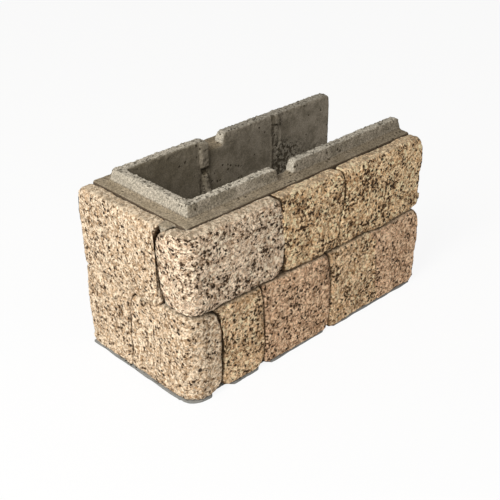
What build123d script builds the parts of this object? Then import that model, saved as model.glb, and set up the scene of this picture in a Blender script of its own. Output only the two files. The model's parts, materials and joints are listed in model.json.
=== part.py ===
from build123d import *
from math import atan, degrees
import os

# A hollow concrete corner block, open at one end, faced with rounded granite stones
# on its front and on its closed end. Millimetres, +Z up, origin at the bottom centre.

# Overall size: length and width run from the faces of the stones to the bare ends of the shell
LENGTH = 500.0
WIDTH = 240.0
COURSE_HEIGHT = 275.0
TONGUE_HEIGHT = 20.0

# How far the stones stand out past the shell at its open end and at its back
UPPER_OVERHANG = 2.5
LOWER_OVERHANG = 10.0
BACK_OVERHANG = 3.0

# Concrete body
STONE_DEPTH = 25.0
FRONT_WALL = 37.0
END_WALL = 37.0
BACK_WALL = 40.0
LEDGE = 19.0
TONGUE_DRAFT = 3.0
TONGUE_TOP_ROUND = 3.0
TONGUE_FOOT_ROUND = 5.0
BODY_CORNER_ROUND = 6.0
CAVITY_CORNER_ROUND = 5.0
MOUTH_BEVEL = 2.0

# Groove in the underside that takes the tongue of the block below
GROOVE_HEIGHT = 23.0
GROOVE_BEARING = 17.0

# Notch across each long tongue
NOTCH_FROM_END = 193.0
NOTCH_WIDTH = 31.0
NOTCH_FLARE = 3.0

# Stubs of the two broken-out cross webs
WEB_STUBS_FROM_END = (176.0, 336.0)
WEB_STUB_WIDTH = 17.0
WEB_STUB_PROUD = 4.0

# Concrete that beds the facing stones and fills the joint between the two upper end stones
BED_THICKNESS = 4.0
BED_SETBACK = 4.0
RIB_WIDTH = 24.0
RIB_SETBACK = 8.0

# Facing stones: joints, and the rounds of their worn edges and outer corners
COURSE_JOINT = 144.0
JOINT = 2.0
QUOIN_ROUND = 24.0
EDGE_ROUND = 8.0
CORNER_ROUND = 14.0
WORN_CORNER_ROUND = 22.0
OUTER_CORNER_ROUND = 30.0
SQUARE = 0.0

# Upper course: distances from the closed end along the front, and from the front along the end
UPPER_QUOIN_FRONT = 186.0
UPPER_QUOIN_END = 58.0
SHOULDER_TOP = 163.0
SHOULDER_HEIGHT = 232.0
BOWED_JOINT_TOP = 301.0
BOWED_JOINT_MIDDLE = 312.0
BOWED_JOINT_BOTTOM = 300.0
BOWED_JOINT_MIDDLE_HEIGHT = 222.0

# How far the faces of the two plain upper front stones lie behind the quoin's
FACE_SETBACK = 2.0

# Lower course: each front joint from its foot to its head, clear of those above
LOWER_QUOIN_FRONT = 57.0
LOWER_QUOIN_END = 133.0
LOWER_JOINTS = ((LOWER_QUOIN_FRONT, LOWER_QUOIN_FRONT), (143.0, 143.0), (288.0, 288.0), (408.0, 384.0))

# Round of each lower front stone's right foot
LOWER_FOOT_ROUNDS = (WORN_CORNER_ROUND, SQUARE, SQUARE, CORNER_ROUND)

# Derived places
LEFT = -(LENGTH + LOWER_OVERHANG) / 2
RIGHT = LEFT + LENGTH
FRONT = -(WIDTH + BACK_OVERHANG) / 2
BACK = FRONT + WIDTH
BODY_LEFT = LEFT + STONE_DEPTH
BODY_FRONT = FRONT + STONE_DEPTH
TOP = COURSE_HEIGHT + TONGUE_HEIGHT
CAVITY_LEFT = BODY_LEFT + END_WALL
CAVITY_FRONT = BODY_FRONT + FRONT_WALL
CAVITY_BACK = BACK - BACK_WALL
HALF_JOINT = JOINT / 2
UPPER_BOTTOM = COURSE_JOINT + HALF_JOINT
LOWER_TOP = COURSE_JOINT - HALF_JOINT
PAST = 20.0


def block(x0, x1, y0, y1, z0, z1):
    """A box between two corners."""
    return Pos(x0, y0, z0) * Box(x1 - x0, y1 - y0, z1 - z0, align=(Align.MIN,) * 3)


def bay_plan(x0, y0, y1, corner_round=0.0):
    """Plan of a bay that runs out past the open end, its left corners square or rounded."""
    corners = [(x0, y0), (x0, y1)]
    plan = make_face(Polyline(corners[0], (RIGHT + PAST, y0), (RIGHT + PAST, y1), corners[1], close=True))
    return rounded_outline(plan, corners, [corner_round] * len(corners))


def raised_slab():
    """What the tongue is cut from: a slab whose sides lean in."""
    foot = bay_plan(BODY_LEFT + LEDGE, BODY_FRONT + LEDGE, BACK - LEDGE)
    lean = degrees(atan(TONGUE_DRAFT / TONGUE_HEIGHT))
    slab = Pos(0, 0, COURSE_HEIGHT) * extrude(foot, TONGUE_HEIGHT, taper=lean)
    return slab & block(LEFT, RIGHT, FRONT, BACK, COURSE_HEIGHT, TOP)


def tongue_notches():
    """The gap cut through both long tongues down to the ledge, a little wider at its top."""
    x0 = BODY_LEFT + NOTCH_FROM_END
    x1 = x0 + NOTCH_WIDTH
    outline = Polyline(
        (x0, COURSE_HEIGHT),
        (x1, COURSE_HEIGHT),
        (x1 + NOTCH_FLARE, TOP),
        (x0, TOP),
        close=True,
    )
    gap = make_face(Plane.XZ * outline)
    return Pos(0, BACK, 0) * extrude(gap, WIDTH)


def web_stubs():
    """What is left on both long walls of the cross webs that were broken out."""
    stubs = Part()
    for start in WEB_STUBS_FROM_END:
        x0 = BODY_LEFT + start
        x1 = x0 + WEB_STUB_WIDTH
        stubs += block(x0, x1, CAVITY_FRONT, CAVITY_FRONT + WEB_STUB_PROUD, GROOVE_HEIGHT, COURSE_HEIGHT)
        stubs += block(x0, x1, CAVITY_BACK - WEB_STUB_PROUD, CAVITY_BACK, GROOVE_HEIGHT, COURSE_HEIGHT)
    return stubs


def bedding(stones):
    """Concrete under the facing stones, and squeezed up between the two at the top of the end."""
    bed = block(LEFT + BED_SETBACK, RIGHT, FRONT + BED_SETBACK, BACK, 0, BED_THICKNESS)
    near_corner = bed.edges().filter_by(Axis.Z).sort_by_distance((LEFT, FRONT, 0))[0]
    bed = fillet(near_corner, QUOIN_ROUND - BED_SETBACK)
    joint = FRONT + UPPER_QUOIN_END
    rib = block(
        LEFT + RIB_SETBACK,
        BODY_LEFT,
        joint - RIB_WIDTH / 2,
        joint + RIB_WIDTH / 2,
        UPPER_BOTTOM,
        COURSE_HEIGHT,
    )
    for stone in stones:
        rib -= stone
    return bed + rib


def cavity():
    """The hollow, open at the end and through the floor, its mouth bevelled."""
    plan = bay_plan(CAVITY_LEFT, CAVITY_FRONT, CAVITY_BACK, CAVITY_CORNER_ROUND)
    mouth = Pos(0, 0, TOP - MOUTH_BEVEL) * extrude(plan, MOUTH_BEVEL, taper=-45)
    return extrude(plan, TOP) + mouth


def concrete_body(stones):
    """The U-shaped shell with its ledge, tongue, notches and groove, cast round the stones."""
    body = block(BODY_LEFT, RIGHT, BODY_FRONT, BACK, 0, COURSE_HEIGHT)
    body = fillet(body.edges().filter_by(Axis.Z).group_by(Axis.X)[0], BODY_CORNER_ROUND)
    body += raised_slab()
    foot = body.edges().filter_by_position(Axis.Z, COURSE_HEIGHT, COURSE_HEIGHT)
    foot = foot.filter_by_position(Axis.Y, BODY_FRONT + LEDGE / 2, BACK - LEDGE / 2)
    foot = foot.filter_by_position(Axis.X, BODY_LEFT + LEDGE / 2, RIGHT - LEDGE / 2)
    body = fillet(foot, TONGUE_FOOT_ROUND)
    body -= tongue_notches()
    body = fillet(body.edges().group_by(Axis.Z)[-1], TONGUE_TOP_ROUND)
    body -= cavity()
    body += web_stubs()
    groove = extrude(
        bay_plan(
            BODY_LEFT + GROOVE_BEARING,
            BODY_FRONT + GROOVE_BEARING,
            BACK - GROOVE_BEARING,
            CAVITY_CORNER_ROUND,
        ),
        GROOVE_HEIGHT,
    )
    body += bedding(stones) - block(CAVITY_LEFT, RIGHT, CAVITY_FRONT, CAVITY_BACK, 0, COURSE_HEIGHT)
    return body - groove


def rounded_outline(outline, corners, rounds):
    """The outline with a radius of its own at each corner, which stays square at 0."""
    for corner, corner_round in zip(corners, rounds):
        if corner_round:
            vertex = outline.vertices().sort_by_distance((*corner, 0))[0]
            outline = fillet(vertex, corner_round)
    return outline


def pillowed(outline, depth=STONE_DEPTH):
    """A flat-backed stone from its outline, its back on y = 0 and its worn face towards -Y."""
    stone = extrude(Plane.XZ * outline, depth)
    face = stone.faces().sort_by(Axis.Y)[0]
    return fillet(face.edges(), EDGE_ROUND)


def front_stone(left, right, bottom, top, rounds):
    """A stone on the front, each side from its foot to its head in distances from the closed end."""
    corners = [(left[0], bottom), (right[0], bottom), (right[1], top), (left[1], top)]
    outline = rounded_outline(make_face(Polyline(*corners, close=True)), corners, rounds)
    return Pos(LEFT, BODY_FRONT, 0) * pillowed(outline)


def end_stone(near, far, bottom, top, rounds):
    """A stone on the closed end, between two distances from the block's front."""
    corners = [(-far, bottom), (-near, bottom), (-near, top), (-far, top)]
    outline = rounded_outline(make_face(Polyline(*corners, close=True)), corners, rounds)
    return Pos(BODY_LEFT, FRONT, 0) * Rot(0, 0, -90) * pillowed(outline)


def shoulder_joint(side):
    """The joint beside the upper quoin: upright, then leaning in over the quoin's shoulder."""
    foot = (UPPER_QUOIN_FRONT + side, UPPER_BOTTOM)
    shoulder = (UPPER_QUOIN_FRONT + side, SHOULDER_HEIGHT)
    head = (SHOULDER_TOP + side, COURSE_HEIGHT)
    return Line(foot, shoulder) + TangentArc(shoulder, head, tangent=(0, 1))


def bowed_joint(side):
    """The joint between the two upper front stones, bowed to the right."""
    return ThreePointArc(
        (BOWED_JOINT_BOTTOM + side, UPPER_BOTTOM),
        (BOWED_JOINT_MIDDLE + side, BOWED_JOINT_MIDDLE_HEIGHT),
        (BOWED_JOINT_TOP + side, COURSE_HEIGHT),
    )


def middle_stone():
    """The upper front stone that fits round the quoin's shoulder on its left."""
    left = shoulder_joint(HALF_JOINT)
    right = bowed_joint(-HALF_JOINT)
    bottom = Line((UPPER_QUOIN_FRONT + HALF_JOINT, UPPER_BOTTOM), right @ 0)
    top = Line((SHOULDER_TOP + HALF_JOINT, COURSE_HEIGHT), right @ 1)
    outline = make_face(left + top + right + bottom)
    return Pos(LEFT, BODY_FRONT, 0) * pillowed(outline, STONE_DEPTH - FACE_SETBACK)


def right_stone():
    """The upper front stone between the bowed joint and the open end."""
    left = bowed_joint(HALF_JOINT)
    corners = [(LENGTH + UPPER_OVERHANG, UPPER_BOTTOM), (LENGTH + UPPER_OVERHANG, COURSE_HEIGHT)]
    outline = make_face(Polyline(left @ 0, *corners, left @ 1) + left)
    outline = rounded_outline(outline, corners, [SQUARE, OUTER_CORNER_ROUND])
    return Pos(LEFT, BODY_FRONT, 0) * pillowed(outline, STONE_DEPTH - FACE_SETBACK)


def beyond_shoulder():
    """What the upper quoin loses at its shoulder."""
    far = UPPER_QUOIN_FRONT + PAST
    outline = shoulder_joint(-HALF_JOINT) + Polyline(
        (SHOULDER_TOP - HALF_JOINT, COURSE_HEIGHT),
        (far, COURSE_HEIGHT),
        (far, UPPER_BOTTOM),
        (UPPER_QUOIN_FRONT - HALF_JOINT, UPPER_BOTTOM),
    )
    return Pos(LEFT, BODY_FRONT, 0) * extrude(Plane.XZ * make_face(outline), STONE_DEPTH)


def corner_stone(front_reach, end_reach, bottom, top, front_rounds, end_rounds, cut=None):
    """A quoin that wraps the block's near corner, its outer edges rounded all the way round.

    The rounds at its two ends are those of the lower and of the upper corner; cut is taken off first.
    """
    plan = make_face(
        Polyline(
            (LEFT, FRONT),
            (LEFT + front_reach, FRONT),
            (LEFT + front_reach, BODY_FRONT),
            (BODY_LEFT, BODY_FRONT),
            (BODY_LEFT, FRONT + end_reach),
            (LEFT, FRONT + end_reach),
            close=True,
        )
    )
    plan = rounded_outline(
        plan,
        [(LEFT, FRONT), (BODY_LEFT, BODY_FRONT)],
        [QUOIN_ROUND, BODY_CORNER_ROUND],
    )
    stone = Pos(0, 0, bottom) * extrude(plan, top - bottom)
    if cut:
        stone -= cut
    for across, along, rounds in ((Axis.Y, Axis.X, front_rounds), (Axis.X, Axis.Y, end_rounds)):
        for lower_or_upper, corner_round in zip((0, -1), rounds):
            tips = stone.edges().filter_by(across).group_by(along)[-1].sort_by(Axis.Z)
            if corner_round:
                stone = fillet(tips[lower_or_upper], corner_round)
    front_face = stone.faces().sort_by(Axis.Y)[0]
    end_face = stone.faces().sort_by(Axis.X)[0]
    rims = [rim for rim in front_face.edges() + end_face.edges() if not is_quoin_seam(rim)]
    bends = stone.edges().filter_by(GeomType.CIRCLE).filter_by(is_quoin_bend)
    return fillet(rims + list(bends), EDGE_ROUND)


def is_quoin_seam(edge):
    """True for the upright lines where a quoin's flats run smoothly into its round corner."""
    place = edge.center()
    seams = (LEFT + QUOIN_ROUND, FRONT), (LEFT, FRONT + QUOIN_ROUND)
    return any(abs(place.X - x) < 0.01 and abs(place.Y - y) < 0.01 for x, y in seams)


def is_quoin_bend(edge):
    """True for the two level arcs where a quoin turns the corner."""
    is_level = edge.bounding_box().size.Z < 0.01
    return is_level and abs(edge.radius - QUOIN_ROUND) < 0.01


def upper_course():
    """The four stones of the upper course by node name."""
    return {
        "upper_corner_stone": corner_stone(
            UPPER_QUOIN_FRONT - HALF_JOINT,
            UPPER_QUOIN_END - HALF_JOINT,
            UPPER_BOTTOM,
            COURSE_HEIGHT,
            (WORN_CORNER_ROUND, SQUARE),
            (WORN_CORNER_ROUND, WORN_CORNER_ROUND),
            beyond_shoulder(),
        ),
        "upper_front_stone_middle": middle_stone(),
        "upper_front_stone_right": right_stone(),
        "upper_end_stone": end_stone(
            UPPER_QUOIN_END + HALF_JOINT,
            WIDTH + BACK_OVERHANG,
            UPPER_BOTTOM,
            COURSE_HEIGHT,
            (SQUARE, SQUARE, CORNER_ROUND, SQUARE),
        ),
    }


def lower_course():
    """The six stones of the lower course by node name."""
    course = {
        "lower_corner_stone": corner_stone(
            LOWER_QUOIN_FRONT - HALF_JOINT,
            LOWER_QUOIN_END - HALF_JOINT,
            BED_THICKNESS,
            LOWER_TOP,
            (WORN_CORNER_ROUND, SQUARE),
            (SQUARE, SQUARE),
        ),
        "lower_end_stone": end_stone(
            LOWER_QUOIN_END + HALF_JOINT,
            WIDTH + BACK_OVERHANG,
            BED_THICKNESS,
            LOWER_TOP,
            (CORNER_ROUND, SQUARE, SQUARE, SQUARE),
        ),
    }
    outer_side = LENGTH + LOWER_OVERHANG
    left_sides = [(foot + HALF_JOINT, head + HALF_JOINT) for foot, head in LOWER_JOINTS]
    right_sides = [(foot - HALF_JOINT, head - HALF_JOINT) for foot, head in LOWER_JOINTS[1:]]
    right_sides.append((outer_side, outer_side))
    for number, foot_round in enumerate(LOWER_FOOT_ROUNDS):
        course[f"lower_front_stone_{number + 1}"] = front_stone(
            left_sides[number],
            right_sides[number],
            BED_THICKNESS,
            LOWER_TOP,
            (SQUARE, foot_round, SQUARE, SQUARE),
        )
    return course


stones = {**upper_course(), **lower_course()}
nodes = {"concrete_body": concrete_body(stones.values()), **stones}

os.makedirs("parts", exist_ok=True)
for name, solid in nodes.items():
    export_step(solid, f"parts/{name}.step")
    box = solid.bounding_box()
    print(name, [round(v, 2) for v in (*box.min, *box.max)], round(solid.volume / 1000), "cm3")
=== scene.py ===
import json
from math import cos, pi, radians, sin, sqrt

import bmesh
import bpy
from mathutils import Matrix, Vector, noise
from mathutils.geometry import intersect_point_line


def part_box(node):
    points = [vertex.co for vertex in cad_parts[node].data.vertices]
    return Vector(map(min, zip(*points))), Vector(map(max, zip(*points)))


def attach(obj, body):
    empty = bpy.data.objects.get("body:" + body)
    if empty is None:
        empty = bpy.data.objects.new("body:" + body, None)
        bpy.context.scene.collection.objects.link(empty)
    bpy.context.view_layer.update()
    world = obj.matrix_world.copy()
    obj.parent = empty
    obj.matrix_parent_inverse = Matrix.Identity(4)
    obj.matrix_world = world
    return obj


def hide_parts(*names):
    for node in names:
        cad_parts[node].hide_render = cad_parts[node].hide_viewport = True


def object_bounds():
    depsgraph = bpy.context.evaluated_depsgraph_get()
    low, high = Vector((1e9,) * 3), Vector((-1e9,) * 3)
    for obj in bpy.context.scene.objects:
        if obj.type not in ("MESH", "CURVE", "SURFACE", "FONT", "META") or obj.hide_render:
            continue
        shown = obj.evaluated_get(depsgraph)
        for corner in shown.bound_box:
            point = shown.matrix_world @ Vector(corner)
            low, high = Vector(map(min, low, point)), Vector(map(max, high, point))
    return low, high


# Corner block of concrete, faced with worn granite stones, on a plain pale floor
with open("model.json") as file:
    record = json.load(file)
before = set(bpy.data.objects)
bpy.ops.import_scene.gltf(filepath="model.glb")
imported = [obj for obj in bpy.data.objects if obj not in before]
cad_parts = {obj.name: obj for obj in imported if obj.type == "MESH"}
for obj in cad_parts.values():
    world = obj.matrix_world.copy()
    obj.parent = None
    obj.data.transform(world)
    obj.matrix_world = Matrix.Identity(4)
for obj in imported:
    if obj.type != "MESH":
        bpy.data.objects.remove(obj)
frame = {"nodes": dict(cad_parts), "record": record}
cad_low, cad_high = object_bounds()
MM = 0.001

# Levels and faces of the block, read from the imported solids
LEDGE_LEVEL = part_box("upper_corner_stone")[1].z
FRONT_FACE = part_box("upper_corner_stone")[0].y
END_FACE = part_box("upper_corner_stone")[0].x
BODY_LOW, BODY_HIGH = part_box("concrete_body")
SHELL_END = BODY_LOW.x + 21 * MM
BACK_WALL_INNER = BODY_HIGH.y - 40 * MM

# Tongue: its notch from one flank to the other, and how far its foot lies behind the stones' faces
TONGUE_TOP = BODY_HIGH.z
NOTCH = (SHELL_END + 193 * MM, SHELL_END + 227 * MM)
TONGUE_FOOT = 44.5 * MM

# Broken-out webs: their left edges and width, the hole beside the first one and the second one's
# lump, and how far both, and the end of the honeycombed patch, lie behind the end's face
FIRST_WEB = SHELL_END + 176 * MM
SECOND_WEB = SHELL_END + 336 * MM
WEB_WIDTH = 17 * MM
HOLE_LEVEL = 244 * MM
LUMP_LEVEL = 284 * MM
WEB_FROM_END = 208 * MM
SEAM_FROM_END = 361 * MM
HONEYCOMB_END = 440 * MM

# Concrete bed at the foot: how high it is worn, its cut end, and where it is drawn in behind the
# joints, as places along the front with the width of each dent, in millimetres
BED_LEVEL = 6 * MM
BED_END = 249.9 * MM
BED_DENTS = ((62, 24), (149, 14), (292, 13))

# Stonework on the unrolled wall, in millimetres: along it from the near corner, the front
# to the right and the closed end to the left, and the height above the underside
TOP_LINE = [(-250, 275), (520, 275)]
COURSE_LINE = [
    (-243, 144), (-178, 142), (-108, 141), (-84, 145), (-59, 150), (-20, 149), (20, 145),
    (80, 144), (140, 145), (190, 145), (245, 143), (287, 141), (335, 143), (417, 140), (510, 143),
]
FOOT_LINE = [(-250, 1), (-60, 1), (-25, 2), (5, 2.5), (35, 2), (75, 3), (110, 1.5), (200, 0.5), (520, 0.5)]
UPPER_END_SIDE = [(-243, 144), (-244, 200), (-244, 240), (-243, 275)]
LOWER_END_SIDE = [(-243, 1), (-244, 50), (-244, 110), (-242, 144)]
END_UPPER_JOINT = [(-59, 150), (-64, 172), (-68, 205), (-72, 235), (-71, 252), (-65, 265), (-57, 275)]
QUOIN_END_SIDE = [(-59, 150), (-64, 172), (-68, 205), (-72, 235), (-71, 247), (-64, 261), (-46, 275)]
END_LOWER_JOINT = [(-143, 1), (-140, 37), (-140, 75), (-138, 108), (-133, 125), (-122, 141.5)]
QUOIN_JOINT = [(190, 145), (191.5, 180), (191.5, 226), (190.5, 245), (186, 262), (179, 275)]
BOWED_JOINT = [(309, 142), (312, 165), (313, 190), (320, 213), (323, 240), (320, 258), (314, 275)]
UPPER_RIGHT_SIDE = [(504, 143), (507, 200), (507, 240), (506, 275)]
LOWER_QUOIN_JOINT = [(61, 2.5), (66, 43), (66, 78), (65, 112), (61, 130), (50, 144.5)]
LOWER_JOINT_1 = [(146, 1.5), (151, 44), (149, 105), (144, 145)]
LOWER_JOINT_2 = [(291, 0.5), (295, 40), (295, 77), (294, 114), (288, 141)]
LOWER_JOINT_3 = [(414, 0.5), (408, 30), (400, 60), (397, 90), (395, 118), (388, 141)]
LOWER_RIGHT_SIDE = [(508, 0.5), (509, 40), (509, 110), (508, 143)]
UPPER = (COURSE_LINE, TOP_LINE)
LOWER = (FOOT_LINE, COURSE_LINE)

# Each stone: its left and right side, the lines under and over it, its corner rounds from the
# lower left one on, its edge rounds from the bottom one on, both anticlockwise, its face's setback
STONES = {
    "upper_end_stone": (UPPER_END_SIDE, END_UPPER_JOINT, UPPER, (5, 8, 10, 15), (3, 9, 8, 2.5), 0.0),
    "upper_corner_stone": (QUOIN_END_SIDE, QUOIN_JOINT, UPPER, (22, 26, 10, 20), (10, 8, 9, 10), 0.0),
    "upper_front_stone_middle": (QUOIN_JOINT, BOWED_JOINT, UPPER, (10, 6, 10, 3), (8, 5, 8, 5), 1.4),
    "upper_front_stone_right": (BOWED_JOINT, UPPER_RIGHT_SIDE, UPPER, (8, 15, 17, 9), (10, 3, 8, 4), 0.4),
    "lower_end_stone": (LOWER_END_SIDE, END_LOWER_JOINT, LOWER, (11, 6, 5, 5), (5, 5, 3, 2.5), 0.4),
    "lower_corner_stone": (END_LOWER_JOINT, LOWER_QUOIN_JOINT, LOWER, (8, 22, 14, 14), (8, 8, 7, 5), 0.2),
    "lower_front_stone_1": (LOWER_QUOIN_JOINT, LOWER_JOINT_1, LOWER, (14, 19, 5, 5), (6, 4, 5, 8), 1.2),
    "lower_front_stone_2": (LOWER_JOINT_1, LOWER_JOINT_2, LOWER, (14, 14, 9, 5), (5, 7, 5, 4), 0.6),
    "lower_front_stone_3": (LOWER_JOINT_2, LOWER_JOINT_3, LOWER, (10, 5, 4, 9), (5, 3, 7, 7), 0.8),
    "lower_front_stone_4": (LOWER_JOINT_3, LOWER_RIGHT_SIDE, LOWER, (5, 13, 15, 4), (5, 2.5, 7, 3), 0.3),
}

# How far the backs of the stones beside the upper end joint lean away from it, in millimetres
LEANING = {"upper_end_stone": -4, "upper_corner_stone": 14}

# How far past its drawn right side a stone may wander, in millimetres: less at the open end
SIDE_PLAY = {"upper_front_stone_right": 0.7, "lower_front_stone_4": 0.7}
PLAY_IN_JOINT = 20

# How far every stone is set back besides its own setback, in millimetres
EXTRA_SETBACK = 0.5

# How the stones and the concrete are shaped and worn, in metres
STONE_THICKNESS = 23.0 * MM
SHALLOWEST = 0.2 * MM
DEEPEST = 22.8 * MM
HALF_GAP = 0.5 * MM
QUOIN_ROUND = 30 * MM
WIDEST_ROUND = 12 * MM
SWELL = 1.0 * MM
STONE_GRIT = 1.7 * MM
CONCRETE_GRIT = 1.9 * MM

# About how many triangles the worn concrete keeps
CONCRETE_TRIANGLES = 190000


# Meshes

def new_piece(name, form):
    """An object with the bmesh's shape, in the scene."""
    mesh = bpy.data.meshes.new(name)
    form.to_mesh(mesh)
    form.free()
    piece = bpy.data.objects.new(name, mesh)
    bpy.context.scene.collection.objects.link(piece)
    return piece


def make_even(piece, grain):
    """Gives the piece an even, closed mesh and takes its sharp edges off."""
    even = piece.modifiers.new("even", "REMESH")
    even.mode = "VOXEL"
    even.voxel_size = grain
    even.use_smooth_shade = True
    soft = piece.modifiers.new("soft", "SMOOTH")
    soft.factor = 0.5
    soft.iterations = 3


def settle(piece):
    """Makes the piece's modifiers part of its mesh."""
    graph = bpy.context.evaluated_depsgraph_get()
    settled = bpy.data.meshes.new_from_object(piece.evaluated_get(graph), depsgraph=graph)
    settled.name = piece.name
    piece.modifiers.clear()
    old = piece.data
    piece.data = settled
    bpy.data.meshes.remove(old)


def thin_out(piece, triangles):
    """Keeps about so many triangles, and spends them where the surface bends."""
    count = 2 * len(piece.data.polygons)
    fewer = piece.modifiers.new("fewer", "DECIMATE")
    fewer.ratio = min(triangles / count, 1.0)


def keep_in_box(place):
    """Moves a place that wear has pushed out of the solids' box back to the box."""
    for axis in range(3):
        place[axis] = min(max(place[axis], cad_low[axis]), cad_high[axis])


def relief_texture(name, size, depth=1, hard=False, colored=False):
    """A procedural cloud texture for relief, its features about as wide as the size."""
    texture = bpy.data.textures.new(name, "CLOUDS")
    texture.noise_scale = size
    texture.noise_depth = depth
    texture.noise_type = "HARD_NOISE" if hard else "SOFT_NOISE"
    texture.cloud_type = "COLOR" if colored else "GRAYSCALE"
    return texture


def wear(piece, texture, depth, middle=0.5, part=None):
    """Moves the surface in and out by the texture, about its middle value."""
    worn = piece.modifiers.new(texture.name, "DISPLACE")
    worn.texture = texture
    worn.texture_coords = "LOCAL"
    worn.mid_level = middle
    worn.strength = depth
    if part:
        worn.vertex_group = part
    return worn


def wander(piece, texture, reach):
    """Shifts the piece this way and that, alike for all pieces, so that joints stay closed."""
    wear(piece, texture, reach).direction = "RGB_TO_XYZ"


def mark_part(piece, name, weight_at):
    """A vertex group whose weights come from a function of the place."""
    group = piece.vertex_groups.new(name=name)
    for vertex in piece.data.vertices:
        weight = weight_at(vertex.co)
        if weight > 0.0:
            group.add([vertex.index], min(weight, 1.0), "REPLACE")


def ramp(value, low, high):
    """0 below low, 1 above high, and smooth between."""
    share = min(max((value - low) / (high - low), 0.0), 1.0)
    return share * share * (3 - 2 * share)


# Facing stones

def bends_between(line, start, end):
    """The bends of a level line that lie between two places along it."""
    return [bend for bend in line if start + 5 < bend[0] < end - 5]


def stone_sides(left, right, bottom, top):
    """The four sides of a stone as runs of points, anticlockwise from its lower left corner."""
    floor_run = [left[0], *bends_between(bottom, left[0][0], right[0][0]), right[0]]
    ceiling_run = [left[-1], *bends_between(top, left[-1][0], right[-1][0]), right[-1]]
    return floor_run, right, ceiling_run[::-1], left[::-1]


def flat_point(place):
    return Vector((place[0] * MM, 0.0, place[1] * MM))


def distance_to_run(point, run):
    """How far a point is from a run of points on the flat face."""
    nearest = 1.0
    for start, end in zip(run, run[1:]):
        start, end = flat_point(start), flat_point(end)
        foot, share = intersect_point_line(point, start, end)
        share = min(max(share, 0.0), 1.0)
        nearest = min(nearest, (point - start.lerp(end, share)).length)
    return nearest


def lean_back(form, joint, away):
    """Leans the stone's side along a joint, so that its back lies further from the joint or nearer."""
    bmesh.ops.bisect_plane(
        form, geom=[*form.verts, *form.edges, *form.faces], plane_co=(0, 7 * MM, 0), plane_no=(0, 1, 0),
    )
    back = [
        vertex for vertex in form.verts
        if vertex.co.y > 20 * MM and distance_to_run(Vector((vertex.co.x, 0, vertex.co.z)), joint) < 9 * MM
    ]
    bmesh.ops.translate(form, verts=back, vec=(away * MM, 0, 0))


def flat_stone(name, sides, corner_rounds, edge_rounds, leaning):
    """A stone of the unrolled wall, its face at y = 0, its rim weighted for its rounds."""
    form = bmesh.new()
    outline = [place for run in sides for place in run[:-1]]
    face = form.faces.new([form.verts.new(flat_point(place)) for place in outline])
    rim = bmesh.ops.inset_region(form, faces=[face], thickness=HALF_GAP, use_even_offset=True)
    bmesh.ops.delete(form, geom=rim["faces"], context="FACES")
    for run, corner_round in zip(sides, corner_rounds):
        corner = min(form.verts, key=lambda vertex: (vertex.co - flat_point(run[0])).length)
        bmesh.ops.bevel(
            form, geom=[corner], offset=corner_round * MM, offset_type="OFFSET", affect="VERTICES",
            segments=6, profile=0.5, material=-1, clamp_overlap=True,
        )
    faces = list(form.faces)
    grown = bmesh.ops.extrude_face_region(form, geom=faces, use_keep_orig=True)
    moved = [part for part in grown["geom"] if isinstance(part, bmesh.types.BMVert)]
    bmesh.ops.translate(form, verts=moved, vec=(0, STONE_THICKNESS, 0))
    if leaning:
        lean_back(form, END_UPPER_JOINT, leaning)
    bmesh.ops.recalc_face_normals(form, faces=form.faces)
    weights = form.edges.layers.float.new("bevel_weight_edge")
    for edge in form.edges:
        if all(vertex.co.y < 0.1 * MM for vertex in edge.verts):
            middle = (edge.verts[0].co + edge.verts[1].co) / 2
            nearest = min(range(4), key=lambda side: distance_to_run(middle, sides[side]))
            edge[weights] = edge_rounds[nearest] * MM / WIDEST_ROUND
    stone = new_piece(name, form)
    rounding = stone.modifiers.new("rounding", "BEVEL")
    rounding.limit_method = "WEIGHT"
    rounding.width = WIDEST_ROUND
    rounding.segments = 5
    rounding.profile = 0.5
    rounding.use_clamp_overlap = False
    return stone


def wall_place(along, depth, height):
    """Where a point of the unrolled wall lies on the block."""
    if along >= QUOIN_ROUND:
        return Vector((END_FACE + along, FRONT_FACE + depth, height))
    if along <= -QUOIN_ROUND:
        return Vector((END_FACE + depth, FRONT_FACE - along, height))
    turn = (along / QUOIN_ROUND + 1) * pi / 4
    reach = max(QUOIN_ROUND - depth, 0.3 * MM)
    return Vector((
        END_FACE + QUOIN_ROUND - reach * cos(turn),
        FRONT_FACE + QUOIN_ROUND - reach * sin(turn),
        height,
    ))


def set_in_wall(stone, setback, farthest):
    """Swells the stone's face a little, sets it back and lays it on the block."""
    places = [vertex.co for vertex in stone.data.vertices]
    low = Vector([min(place[axis] for place in places) for axis in range(3)])
    high = Vector([max(place[axis] for place in places) for axis in range(3)])
    middle, half = (low + high) / 2, (high - low) / 2
    for vertex in stone.data.vertices:
        along, depth, height = vertex.co
        across = abs((along - middle.x) / half.x) ** 3
        upright = abs((height - middle.z) / half.z) ** 3
        front = 1 - ramp(depth, 8 * MM, 18 * MM)
        sunk = setback * MM + SWELL * (1 - (1 - across) * (1 - upright))
        depth = min(max(depth + front * sunk, SHALLOWEST), DEEPEST)
        place = wall_place(min(along, farthest * MM), depth, height)
        keep_in_box(place)
        vertex.co = place


# Concrete body

def concrete_copy(node):
    """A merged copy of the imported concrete, as an even mesh."""
    form = bmesh.new()
    form.from_mesh(frame["nodes"][node].data)
    bmesh.ops.remove_doubles(form, verts=form.verts, dist=0.001 * MM)
    body = new_piece("worn_" + node, form)
    make_even(body, CONCRETE_GRIT)
    return body


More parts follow.
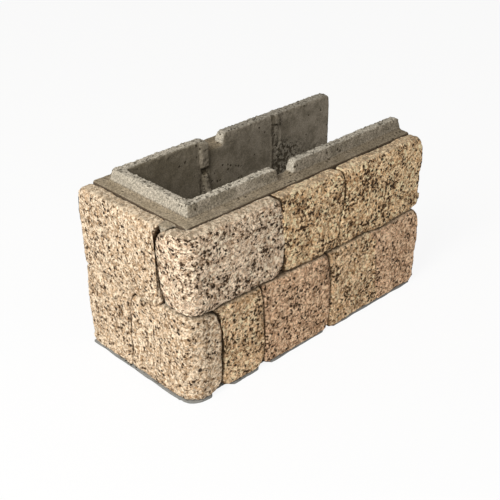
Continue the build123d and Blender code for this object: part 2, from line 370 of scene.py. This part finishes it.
def wear_tongue_ends(body, reach):
    """Rounds off the tongue beside the notch and at the open end."""
    for vertex in body.data.vertices:
        place = vertex.co
        if place.z < LEDGE_LEVEL + 1 * MM or place.x < NOTCH[0] - reach:
            continue
        gaps = [NOTCH[0] - place.x, place.x - NOTCH[1], BODY_HIGH.x - place.x]
        nearest = min((gap for gap in gaps if gap > -4 * MM), default=reach)
        if nearest < reach:
            short = reach - max(nearest, 0.0)
            drop = 0.75 * (reach - sqrt(max(reach * reach - short * short, 0.0)))
            rise = (place.z - LEDGE_LEVEL) / (TONGUE_TOP - LEDGE_LEVEL)
            place.z -= drop * rise


def draw_in_bed(body):
    """Lays the edge of the concrete bed near the face, and further back where stones meet."""
    for vertex in body.data.vertices:
        place = vertex.co
        if place.z > BED_LEVEL or place.x > BED_END:
            continue
        short_x = max(END_FACE + QUOIN_ROUND - place.x, 0.0)
        short_y = max(FRONT_FACE + QUOIN_ROUND - place.y, 0.0)
        reach = sqrt(short_x ** 2 + short_y ** 2)
        if reach <= QUOIN_ROUND - 12 * MM:
            continue
        depth = (1.0 + 1.5 * noise.noise(place * 40)) * MM
        if short_y > 0.0:
            along = (place.x - END_FACE) / MM
            dent = max(1 - ramp(abs(along - foot), width / 2, width) for foot, width in BED_DENTS)
            depth += (1.5 + 10 * dent) * MM
        share = (QUOIN_ROUND - depth) / reach
        place.x += short_x * (1 - share)
        place.y += short_y * (1 - share)


def first_web_stands(across, height):
    """How far the first web's ragged strip stands out: it leans below, and stops at a hole."""
    lean = 0.25 * min(height - 236 * MM, 0.0)
    half = 8 * MM if height > 250 * MM else 4 * MM
    proud = 4 * MM * (1 - ramp(abs(across + lean), half - 1 * MM, half + 1.5 * MM))
    proud *= 1 - ramp(height, 289 * MM, 295 * MM)
    return proud * ramp(abs(height - HOLE_LEVEL), 3 * MM, 7 * MM)


def second_web_stands(across, height):
    """How far the second web's lump stands out; below it the web broke off flush."""
    if height <= 270 * MM:
        return 0.0
    return 4 * MM * (1 - ramp(Vector((across, height - LUMP_LEVEL)).length, 5 * MM, 12 * MM))


def break_webs(body):
    """Shapes what is left of both webs on the back wall."""
    for vertex in body.data.vertices:
        place = vertex.co
        if place.z < 24 * MM or not BACK_WALL_INNER - 7 * MM < place.y < BACK_WALL_INNER + 2 * MM:
            continue
        for start, stands in ((FIRST_WEB, first_web_stands), (SECOND_WEB, second_web_stands)):
            across = place.x - start - WEB_WIDTH / 2
            if abs(across) > WEB_WIDTH / 2 + 4 * MM:
                continue
            proud = stands(across, place.z)
            if place.y < BACK_WALL_INNER - 0.6 * MM or proud > 0.0:
                place.y = BACK_WALL_INNER - proud


def on_tongue(place):
    return ramp(place.z, LEDGE_LEVEL + 3 * MM, LEDGE_LEVEL + 17 * MM)


def at_web_stub(place):
    """1 on the broken faces of the web stubs, 0 elsewhere."""
    inside = BODY_LOW.y + 50 * MM < place.y < BODY_HIGH.y - 34 * MM
    for start in (FIRST_WEB, SECOND_WEB):
        if inside and start - 3 * MM < place.x < start + WEB_WIDTH + 3 * MM and place.z > 20 * MM:
            return 1.0 - ramp(abs(place.x - start - WEB_WIDTH / 2), WEB_WIDTH / 2, WEB_WIDTH / 2 + 3 * MM)
    return 0.0


# Shader groups

def group_with(name, inputs, outputs):
    """An empty shader group with its named sockets, and its input and output nodes."""
    group = bpy.data.node_groups.new(name, "ShaderNodeTree")
    for socket_name, kind, default in inputs:
        socket = group.interface.new_socket(socket_name, in_out="INPUT", socket_type=kind)
        socket.default_value = default
    for socket_name, kind in outputs:
        group.interface.new_socket(socket_name, in_out="OUTPUT", socket_type=kind)
    return group, group.nodes.new("NodeGroupInput").outputs, group.nodes.new("NodeGroupOutput").inputs


SURFACE_OUTPUTS = [
    ("Color", "NodeSocketColor"),
    ("Roughness", "NodeSocketFloat"),
    ("Height", "NodeSocketFloat"),
]


class Wiring:
    """Short ways to place and join nodes in one node tree."""

    def __init__(self, tree):
        self.tree = tree

    def put(self, target, value):
        if isinstance(value, bpy.types.NodeSocket):
            self.tree.links.new(value, target)
        else:
            target.default_value = value

    def noise(self, where, scale, detail=2.0, roughness=0.5, distortion=0.0):
        node = self.tree.nodes.new("ShaderNodeTexNoise")
        self.put(node.inputs["Vector"], where)
        self.put(node.inputs["Scale"], scale)
        node.inputs["Detail"].default_value = detail
        node.inputs["Roughness"].default_value = roughness
        node.inputs["Distortion"].default_value = distortion
        return node.outputs

    def cells(self, where, scale):
        node = self.tree.nodes.new("ShaderNodeTexVoronoi")
        self.put(node.inputs["Vector"], where)
        self.put(node.inputs["Scale"], scale)
        return node.outputs

    def reach(self, value, low, high, to_low=0.0, to_high=1.0, smooth=True):
        node = self.tree.nodes.new("ShaderNodeMapRange")
        node.interpolation_type = "SMOOTHSTEP" if smooth else "LINEAR"
        self.put(node.inputs["Value"], value)
        self.put(node.inputs["From Min"], low)
        self.put(node.inputs["From Max"], high)
        self.put(node.inputs["To Min"], to_low)
        self.put(node.inputs["To Max"], to_high)
        return node.outputs["Result"]

    def math(self, operation, a, b=0.0):
        node = self.tree.nodes.new("ShaderNodeMath")
        node.operation = operation
        self.put(node.inputs[0], a)
        self.put(node.inputs[1], b)
        return node.outputs[0]

    def times(self, first, *others):
        for other in others:
            first = self.math("MULTIPLY", first, other)
        return first

    def most(self, first, *others):
        for other in others:
            first = self.math("MAXIMUM", first, other)
        return first

    def distance(self, a, b):
        return self.math("ABSOLUTE", self.math("SUBTRACT", a, b))

    def mix(self, share, a, b, kind="MIX"):
        node = self.tree.nodes.new("ShaderNodeMix")
        node.data_type = "RGBA"
        node.blend_type = kind
        self.put(node.inputs["Factor"], share)
        self.put(node.inputs["A"], a)
        self.put(node.inputs["B"], b)
        return node.outputs["Result"]

    def shaded(self, color, factor):
        """The colour, darker or lighter by a factor."""
        return self.mix(1.0, color, factor, "MULTIPLY")

    def split(self, color):
        node = self.tree.nodes.new("ShaderNodeSeparateColor")
        self.put(node.inputs["Color"], color)
        return node.outputs

    def parts(self, vector):
        node = self.tree.nodes.new("ShaderNodeSeparateXYZ")
        self.put(node.inputs["Vector"], vector)
        return node.outputs

    def facing(self):
        """Which way the surface looks, as its three parts from -1 to 1."""
        node = self.tree.nodes.new("ShaderNodeNewGeometry")
        return self.parts(node.outputs["Normal"])

    def depth_in_wall(self, where):
        """How far a place lies behind the stonework's outer face, round the quoin too."""
        place = self.parts(where)
        short_x = self.most(self.math("SUBTRACT", END_FACE + QUOIN_ROUND, place["X"]), 0.0)
        short_y = self.most(self.math("SUBTRACT", FRONT_FACE + QUOIN_ROUND, place["Y"]), 0.0)
        square = self.math("ADD", self.math("POWER", short_x, 2.0), self.math("POWER", short_y, 2.0))
        return self.math("SUBTRACT", QUOIN_ROUND, self.math("SQRT", square))


# Granite: how many of each feature fit in a metre, its painted joint shade and its worn tops
CRYSTALS = 250.0
QUARTZ_GRAINS = 215.0
FINE_GRAIN = 290.0
STAINS = 26.0
SPECK_CLUSTERS = 38.0
FLAKES = 195.0
MICA = 165.0
EDGE_RUFFLES = 220.0
PAINTED_JOINT_SHADE = (0.075, 0.045, 0.022, 1)
WORN_TOP = (0.52, 0.44, 0.32, 1)


def granite_crystals(w, given, bent):
    """The colour of pale and warm crystals with stains and quartz, the crystals' kinds, the grain."""
    where = given["Position"]
    kinds = w.split(w.cells(bent, CRYSTALS)["Color"])
    base = w.mix(w.reach(kinds["Red"], 0.1, 0.7), given["Warm"], given["Pale"])
    cloud = w.noise(where, STAINS, 3.0, 0.6)["Fac"]
    base = w.mix(w.times(w.reach(cloud, 0.46, 0.66), given["Stain Share"]), base, given["Stain"])
    rusty = w.reach(kinds["Green"], 0.74, 0.80)
    base = w.mix(w.times(rusty, 0.6), base, given["Stain"])
    grain = w.noise(where, FINE_GRAIN, 2.0, 0.75)["Fac"]
    base = w.shaded(base, w.reach(grain, 0.36, 0.64, 0.52, 1.24))
    bright = w.reach(w.split(w.cells(bent, QUARTZ_GRAINS)["Color"])["Green"], 0.84, 0.87)
    base = w.mix(w.times(bright, 0.65), base, given["Quartz"])
    return base, kinds, grain


def granite_specks(w, given, wandering, base, top_bevel):
    """Dark flakes with rusty halos and round mica grains, in clusters and fewer on the tops."""
    where = given["Position"]
    crowd = w.reach(w.noise(where, SPECK_CLUSTERS)["Fac"], 0.35, 0.65, 0.5, 1.6)
    share = w.times(given["Speck Share"], crowd)
    flakes = w.noise(where, FLAKES, 2.0, 0.65, 0.3)["Fac"]
    level = w.math("ADD", w.times(share, -0.30), 0.69)
    over = w.math("SUBTRACT", flakes, level)
    base = w.mix(w.times(w.reach(over, -0.06, 0.0), 0.75), base, given["Stain"])
    mica = w.cells(w.mix(0.006, where, wandering, "ADD"), MICA)
    chosen = w.math("LESS_THAN", w.split(mica["Color"])["Blue"], w.times(share, 0.8))
    core = w.reach(mica["Distance"], 0.32, 0.5, 1.0, 0.0)
    speck = w.most(w.reach(over, 0.0, 0.025), w.times(chosen, core))
    speck = w.times(speck, w.reach(top_bevel, 0.0, 1.0, 0.95, 0.5))
    return w.mix(speck, base, given["Speck"]), speck, over


def granite_group():
    """Bush-hammered granite: pale and warm crystals, dark mica specks, stains and painted shade in the
    joints.
    """
    group, given, out = group_with(
        "granite",
        [
            ("Position", "NodeSocketVector", (0, 0, 0)),
            ("Pale", "NodeSocketColor", (0.8, 0.7, 0.5, 1)),
            ("Warm", "NodeSocketColor", (0.6, 0.4, 0.2, 1)),
            ("Quartz", "NodeSocketColor", (0.95, 0.86, 0.7, 1)),
            ("Speck", "NodeSocketColor", (0.06, 0.04, 0.02, 1)),
            ("Stain", "NodeSocketColor", (0.5, 0.3, 0.15, 1)),
            ("Speck Share", "NodeSocketFloat", 0.15),
            ("Stain Share", "NodeSocketFloat", 0.3),
        ],
        SURFACE_OUTPUTS,
    )
    w = Wiring(group)
    where = given["Position"]
    wandering = w.noise(where, EDGE_RUFFLES, 1.0)["Color"]
    bent = w.mix(0.004, where, wandering, "ADD")
    upward = w.facing()["Z"]
    top_bevel = w.reach(upward, 0.35, 0.8)
    base, kinds, grain = granite_crystals(w, given, bent)
    color, speck, over = granite_specks(w, given, wandering, base, top_bevel)
    color = w.mix(w.times(top_bevel, 0.4), color, WORN_TOP)

    # Painted shade: joint hollows deeper than 2.6 mm, kept off faces that look up, and the crack behind
    # the stones are darkened to dark brown
    depth = w.depth_in_wall(where)
    sunk = w.times(w.reach(depth, 2.6 * MM, 6.5 * MM), w.reach(upward, 0.1, 0.6, 0.9, 0.0))
    crack = w.reach(depth, 20.5 * MM, 22.3 * MM, 0.0, 0.9)
    color = w.mix(w.most(sunk, crack), color, PAINTED_JOINT_SHADE)

    height = w.math("ADD", grain, w.times(kinds["Red"], 0.3))
    height = w.math("SUBTRACT", height, w.times(w.reach(over, -0.09, 0.03), 0.7))
    w.put(out["Color"], color)
    w.put(out["Roughness"], w.reach(speck, 0.0, 1.0, 0.9, 0.75))
    w.put(out["Height"], height)
    return group


# Concrete: how many of each feature fit in a metre, and the tones of its regions
MOTTLE = 45.0
SAND = 420.0
PITS = 170.0
PIT_CLUSTERS = 22.0
PIT_RUFFLES = 300.0
LOOSE_GRIT = 150.0
BREAKS = 60.0
DUST_AND_PAINTED_LIGHT = (0.60, 0.55, 0.455, 1)
LEDGE_TONE = (0.33, 0.26, 0.17, 1)
INNER_SHADE = (0.12, 0.099, 0.062, 1)
FOOT_DARK_LINE = (0.13, 0.10, 0.065, 1)
PAINTED_CRACK_SHADE = (0.075, 0.05, 0.03, 1)
BED_TONE = (0.22, 0.23, 0.23, 1)
HONEYCOMB_TONE = (0.36, 0.33, 0.27, 1)
PIT_TONE = (0.045, 0.035, 0.02, 1)


class ConcretePlaces:
    """Where a place lies on the concrete: its distances, and masks of the body's regions."""

    def __init__(self, w, where):
        place = w.parts(where)
        facing = w.facing()
        self.height = place["Z"]
        self.from_end = w.math("SUBTRACT", place["X"], END_FACE)
        self.from_front = w.math("SUBTRACT", place["Y"], FRONT_FACE)
        self.behind = w.math("MINIMUM", self.from_end, self.from_front)
        self.crest = w.times(
            w.reach(facing["Z"], 0.4, 0.8),
            w.reach(self.height, LEDGE_LEVEL + 12 * MM, LEDGE_LEVEL + 17 * MM),
        )
        # The tongue's side that faces the end and the key lamp, which concrete_tones paints paler as
        # painted light
        self.lit_end_side = w.times(
            w.reach(facing["X"], -0.75, -0.5, 1.0, 0.0),
            w.reach(self.height, LEDGE_LEVEL + 2 * MM, LEDGE_LEVEL + 4.5 * MM),
        )
        self.ledge = w.times(
            w.reach(facing["Z"], 0.5, 0.8),
            w.reach(self.height, LEDGE_LEVEL + 2 * MM, LEDGE_LEVEL + 6 * MM, 1.0, 0.0),
        )
        self.inner = w.times(
            w.reach(self.from_front, 60 * MM, 66 * MM),
            w.reach(self.from_end, 60 * MM, 66 * MM),
            w.reach(facing["Y"], -0.6, -0.1, 1.0, 0.0),
        )


def concrete_tones(w, given, on):
    """Mottled concrete with dusty crests, painted light on the tongue's side facing the end, a darker
    ledge, a shaded inner wall, a darker line along the tongue's foot.
    """
    mottle = w.noise(given["Position"], MOTTLE, 4.0, 0.68)["Fac"]
    base = w.mix(w.reach(mottle, 0.34, 0.66), given["Dark"], given["Pale"])
    # Dust on the crests, and painted light that makes the tongue's side facing the end paler
    dust_and_light_share = w.reach(on.from_end, 55 * MM, 75 * MM, 0.55, 0.75)
    base = w.mix(w.times(w.most(on.crest, on.lit_end_side), dust_and_light_share), base, DUST_AND_PAINTED_LIGHT)
    base = w.mix(w.times(on.ledge, 0.6), base, LEDGE_TONE)
    past_end = w.times(on.ledge, w.reach(on.from_end, 45 * MM, 60 * MM))
    base = w.shaded(base, w.reach(past_end, 0.0, 1.0, 1.0, 0.8))
    base = w.shaded(base, w.reach(on.from_end, 235 * MM, 275 * MM, 1.0, 0.81))
    far_crest = w.times(
        on.crest,
        w.reach(on.from_front, 150 * MM, 170 * MM),
        w.reach(on.from_end, 60 * MM, 330 * MM, 0.35, 1.0),
    )
    base = w.shaded(base, w.reach(far_crest, 0.0, 1.0, 1.0, 0.74))
    shade = w.reach(on.from_end, 60 * MM, 400 * MM, 0.62, 0.0)
    base = w.mix(w.times(on.inner, shade), base, INNER_SHADE)
    # A darker, patchy line along the tongue's foot, at the ledge's level
    foot = w.reach(w.distance(on.behind, TONGUE_FOOT), 0.5 * MM, 3.5 * MM, 1.0, 0.0)
    low = w.reach(on.height, LEDGE_LEVEL + 1.5 * MM, LEDGE_LEVEL + 5 * MM, 1.0, 0.0)
    patchy = w.reach(mottle, 0.4, 0.6, 0.15, 0.6)
    return w.mix(w.times(foot, low, patchy), base, FOOT_DARK_LINE)


def concrete_grain(w, on, sand, base):
    """Sandy grain, calmer on the inner wall, painted shade in the crack along the stones, the grey bed at
    the foot.
    """
    calm = w.times(on.inner, 0.22)
    darkest = w.math("ADD", 0.5, calm)
    brightest = w.math("SUBTRACT", 1.35, calm)
    base = w.shaded(base, w.reach(sand, 0.34, 0.66, darkest, brightest))
    # Painted shade in the crack between the stones' backs and the concrete, along the ledge's outer edge
    rim = w.times(
        w.reach(on.behind, 23.4 * MM, 24.4 * MM),
        w.reach(on.behind, 25.6 * MM, 26.8 * MM, 0.85, 0.0),
        w.reach(on.height, LEDGE_LEVEL - 20 * MM, LEDGE_LEVEL - 10 * MM),
    )
    base = w.mix(rim, base, PAINTED_CRACK_SHADE)
    bed = w.reach(on.height, 5 * MM, 8 * MM, 0.8, 0.0)
    return w.mix(bed, base, BED_TONE)


def honeycomb(w, on):
    """Where the concrete is loose: past the second web's seam and below a sloping line."""
    past_seam = w.math("SUBTRACT", on.from_end, SEAM_FROM_END)
    sloping = w.math("ADD", on.height, w.times(past_seam, 0.3))
    return w.times(
        on.inner,
        w.reach(on.from_end, SEAM_FROM_END, SEAM_FROM_END + 8 * MM),
        w.reach(on.from_end, SEAM_FROM_END + 45 * MM, HONEYCOMB_END, 1.0, 0.4),
        w.reach(sloping, 242 * MM, 264 * MM, 1.0, 0.0),
        w.reach(on.height, 150 * MM, 190 * MM),
    )


def torn_webs(w, given, on):
    """The dark seam of the second web, and the hole and the left edge of the first."""
    ruggedness = w.noise(given["Position"], BREAKS, 3.0, 0.7)["Fac"]
    ragged = w.reach(ruggedness, 0.3, 0.7, 0.5 * MM, 4.5 * MM)
    seam = w.times(on.inner, w.math("LESS_THAN", w.distance(on.from_end, SEAM_FROM_END), ragged))
    aside = w.math("SUBTRACT", on.from_end, WEB_FROM_END)
    level = w.math("SUBTRACT", on.height, HOLE_LEVEL)
    away = w.math("SQRT", w.math("ADD", w.times(aside, aside), w.times(level, level)))
    hole = w.reach(away, 4.5 * MM, 7.5 * MM, 1.0, 0.0)
    line = w.times(
        w.math("LESS_THAN", w.distance(aside, -8 * MM), ragged),
        w.reach(level, -60 * MM, 45 * MM, 1.0, 0.0),
    )
    return w.most(w.times(seam, 0.8), w.times(on.inner, w.most(hole, w.times(line, 0.6))))


def concrete_pits(w, given, on, comb):
    """Air pits, more of them on the crests, open grit in the honeycomb, and the torn webs."""
    where = given["Position"]
    bent = w.mix(0.003, where, w.noise(where, PIT_RUFFLES)["Color"], "ADD")
    pits = w.cells(bent, PITS)
    crowd = w.reach(w.noise(where, PIT_CLUSTERS)["Fac"], 0.4, 0.65, 0.3, 2.4)
    crowd = w.math("ADD", crowd, w.times(on.crest, 3.0))
    share = w.times(given["Pit Share"], crowd)
    chosen = w.math("LESS_THAN", w.split(pits["Color"])["Red"], share)
    loose = w.noise(where, LOOSE_GRIT, 2.0, 0.7)["Fac"]
    return w.most(
        w.times(chosen, w.reach(pits["Distance"], 0.24, 0.4, 1.0, 0.0)),
        torn_webs(w, given, on),
        w.times(comb, w.reach(loose, 0.50, 0.54)),
        w.times(on.crest, w.reach(loose, 0.57, 0.62, 0.0, 0.75)),
    )


def concrete_group():
    """Cast concrete: mottled grey, sandy grain, air pits, a darker ledge, broken webs."""
    group, given, out = group_with(
        "cast_concrete",
        [
            ("Position", "NodeSocketVector", (0, 0, 0)),
            ("Pale", "NodeSocketColor", (0.5, 0.47, 0.4, 1)),
            ("Dark", "NodeSocketColor", (0.22, 0.19, 0.14, 1)),
            ("Pit Share", "NodeSocketFloat", 0.06),
        ],
        SURFACE_OUTPUTS,
    )
    w = Wiring(group)
    on = ConcretePlaces(w, given["Position"])
    sand = w.noise(given["Position"], SAND, 3.0, 0.75)["Fac"]
    comb = honeycomb(w, on)
    base = concrete_grain(w, on, sand, concrete_tones(w, given, on))
    base = w.mix(w.times(comb, 0.3), base, HONEYCOMB_TONE)
    pit = concrete_pits(w, given, on, comb)
    w.put(out["Color"], w.mix(w.times(pit, 0.85), base, PIT_TONE))
    w.put(out["Roughness"], w.reach(sand, 0.2, 0.8, 0.86, 0.98))
    w.put(out["Height"], w.math("SUBTRACT", w.times(sand, 0.5), pit))
    return group


# Materials

def finish_with(name, group, values, relief):
    """A material whose surface comes from a shader group with its own values."""
    material = bpy.data.materials.new(name)
    material.use_nodes = True
    tree = material.node_tree
    surface = tree.nodes["Principled BSDF"]
    pattern = tree.nodes.new("ShaderNodeGroup")
    pattern.node_tree = group
    place = tree.nodes.new("ShaderNodeTexCoord")
    tree.links.new(place.outputs["Object"], pattern.inputs["Position"])
    for socket, value in values.items():
        pattern.inputs[socket].default_value = value
    bump = tree.nodes.new("ShaderNodeBump")
    bump.inputs["Distance"].default_value = relief
    bump.inputs["Strength"].default_value = 1.0
    tree.links.new(pattern.outputs["Height"], bump.inputs["Height"])
    tree.links.new(bump.outputs["Normal"], surface.inputs["Normal"])
    tree.links.new(pattern.outputs["Color"], surface.inputs["Base Color"])
    tree.links.new(pattern.outputs["Roughness"], surface.inputs["Roughness"])
    surface.inputs["Specular IOR Level"].default_value = 0.1
    return material


granite = granite_group()
MICA_BLACK = (0.022, 0.011, 0.005, 1)
GRANITE_RELIEF = 1.9 * MM
CONCRETE_RELIEF = 0.8 * MM

# Each granite: its pale and warm crystals, its stains, the share of specks and of stains
GRANITES = {
    "granite_cream": ((0.85, 0.69, 0.505), (0.63, 0.455, 0.295), (0.36, 0.21, 0.10), 0.20, 0.25),
    "granite_golden": ((1.0, 0.76, 0.475), (0.80, 0.53, 0.29), (0.36, 0.18, 0.07), 0.32, 0.3),
    "granite_grey_pink": ((0.93, 0.745, 0.555), (0.69, 0.51, 0.36), (0.36, 0.22, 0.12), 0.27, 0.3),
    "granite_tan": ((0.98, 0.725, 0.465), (0.76, 0.50, 0.29), (0.36, 0.20, 0.08), 0.28, 0.3),
    "granite_rose": ((0.90, 0.63, 0.415), (0.68, 0.43, 0.27), (0.36, 0.20, 0.10), 0.27, 0.3),
}
FINISHES = {}
for slot, (pale, warm, stain, speck_share, stain_share) in GRANITES.items():
    FINISHES[slot] = finish_with(
        slot,
        granite,
        {
            "Pale": (*pale, 1),
            "Warm": (*warm, 1),
            "Stain": (*stain, 1),
            "Quartz": (*[min(1.12 * part + 0.04, 1.0) for part in pale], 1),
            "Speck": MICA_BLACK,
            "Speck Share": speck_share,
            "Stain Share": stain_share,
        },
        GRANITE_RELIEF,
    )
FINISHES["concrete"] = finish_with(
    "concrete",
    concrete_group(),
    {"Pale": (0.42, 0.366, 0.288, 1), "Dark": (0.25, 0.216, 0.160, 1), "Pit Share": 0.07},
    CONCRETE_RELIEF,
)
SLOT_OF = {row["node"]: row["material_slot"] for row in frame["record"]["subparts"]}


def dress(piece, node):
    """Gives a finished piece its material and its place in the frame."""
    slot = SLOT_OF[node]
    piece.data.materials.clear()
    piece.data.materials.append(FINISHES[slot])
    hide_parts(node)
    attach(piece, "root")


# The worn stones
shared_wander = relief_texture("shared_wander", 30 * MM, colored=True)
long_waves = relief_texture("long_waves", 26 * MM)
hammer_marks = relief_texture("hammer_marks", 7 * MM, 2, hard=True)
rough_grain = relief_texture("rough_grain", 3.4 * MM)

for node, (left, right, (bottom, top), corner_rounds, edge_rounds, setback) in STONES.items():
    sides = stone_sides(left, right, bottom, top)
    stone = flat_stone("worn_" + node, sides, corner_rounds, edge_rounds, LEANING.get(node))
    make_even(stone, STONE_GRIT)
    wander(stone, shared_wander, 3.5 * MM)
    wear(stone, long_waves, 2.0 * MM)
    wear(stone, hammer_marks, 1.7 * MM, 0.6)
    wear(stone, rough_grain, 0.9 * MM)
    settle(stone)
    set_in_wall(stone, setback + EXTRA_SETBACK, max(right)[0] + SIDE_PLAY.get(node, PLAY_IN_JOINT))
    dress(stone, node)

# The worn concrete
concrete = concrete_copy("concrete_body")
settle(concrete)
wear_tongue_ends(concrete, 10 * MM)
draw_in_bed(concrete)
break_webs(concrete)
mark_part(concrete, "tongue", on_tongue)
mark_part(concrete, "web_stubs", at_web_stub)
wear(concrete, relief_texture("cast_waves", 40 * MM), 1.0 * MM)
wear(concrete, relief_texture("chipping", 6 * MM, 2, hard=True), 2.8 * MM, part="tongue")
wear(concrete, relief_texture("broken_web", 5 * MM, 2), 4 * MM, part="web_stubs")
wear(concrete, relief_texture("cast_grain", 3.6 * MM), 1.0 * MM)
thin_out(concrete, CONCRETE_TRIANGLES)
settle(concrete)
for vertex in concrete.data.vertices:
    keep_in_box(vertex.co)
dress(concrete, "concrete_body")


# Floor, world, lamp and camera

def seen_directly(w):
    """1 for rays from the camera, a reflection or a pane of glass, 0 for light on the block."""
    rays = w.tree.nodes.new("ShaderNodeLightPath").outputs
    return w.most(rays["Is Camera Ray"], rays["Is Glossy Ray"], rays["Is Transmission Ray"])


def pale_floor():
    """A white floor that keeps the block's soft shadow."""
    form = bmesh.new()
    bmesh.ops.create_grid(form, x_segments=1, y_segments=1, size=8.0)
    floor = new_piece("floor", form)
    material = bpy.data.materials.new("pale_floor")
    material.use_nodes = True
    tree = material.node_tree
    lit = tree.nodes["Principled BSDF"]
    lit.inputs["Base Color"].default_value = (0.9, 0.9, 0.9, 1)
    lit.inputs["Roughness"].default_value = 0.9
    lit.inputs["Specular IOR Level"].default_value = 0.0
    white = tree.nodes.new("ShaderNodeEmission")
    white.inputs["Strength"].default_value = 1.0
    w = Wiring(tree)
    both = tree.nodes.new("ShaderNodeMixShader")
    w.put(both.inputs["Fac"], w.times(seen_directly(w), 0.9))
    tree.links.new(lit.outputs["BSDF"], both.inputs[1])
    tree.links.new(white.outputs["Emission"], both.inputs[2])
    tree.links.new(both.outputs["Shader"], tree.nodes["Material Output"].inputs["Surface"])
    floor.data.materials.append(material)


def soft_lamp(name, place, target, size, power, tint):
    """A square lamp that faces the target."""
    lamp = bpy.data.lights.new(name, "AREA")
    lamp.shape = "SQUARE"
    lamp.size = size
    lamp.energy = power
    lamp.color = tint
    holder = bpy.data.objects.new(name, lamp)
    holder.location = place
    holder.rotation_euler = (Vector(target) - Vector(place)).to_track_quat("-Z", "Y").to_euler()
    bpy.context.scene.collection.objects.link(holder)


def studio_world(strength):
    """Even light from all sides; the camera sees white."""
    world = bpy.data.worlds.new("studio")
    bpy.context.scene.world = world
    world.use_nodes = True
    w = Wiring(world.node_tree)
    background = world.node_tree.nodes["Background"]
    background.inputs["Color"].default_value = (1.0, 0.98, 0.95, 1)
    seen = seen_directly(w)
    w.put(background.inputs["Strength"], w.reach(seen, 0.0, 1.0, strength, 1.0, smooth=False))


def camera_as_photographed():
    """The camera at the photograph's place, heading, tilt and roll."""
    data = bpy.data.cameras.new("camera")
    data.sensor_width = 36.0
    data.lens = 68.87
    data.clip_end = 50.0
    camera = bpy.data.objects.new("camera", data)
    heading = Matrix.Rotation(radians(-43.31), 4, "Z")
    tilt = Matrix.Rotation(radians(90.0 - 29.41), 4, "X")
    roll = Matrix.Rotation(radians(-0.72), 4, "Z")
    place = Matrix.Translation((-0.9356, -0.9681, 0.8730))
    camera.matrix_world = place @ heading @ tilt @ roll
    bpy.context.scene.collection.objects.link(camera)
    bpy.context.scene.camera = camera


pale_floor()
soft_lamp(
    "key_lamp", place=(-2.35, -0.64, 2.1), target=(0, 0, 0.15),
    size=1.3, power=86.0, tint=(1.0, 0.985, 0.96),
)
studio_world(strength=0.365)
camera_as_photographed()

bpy.context.scene.view_settings.view_transform = "Standard"
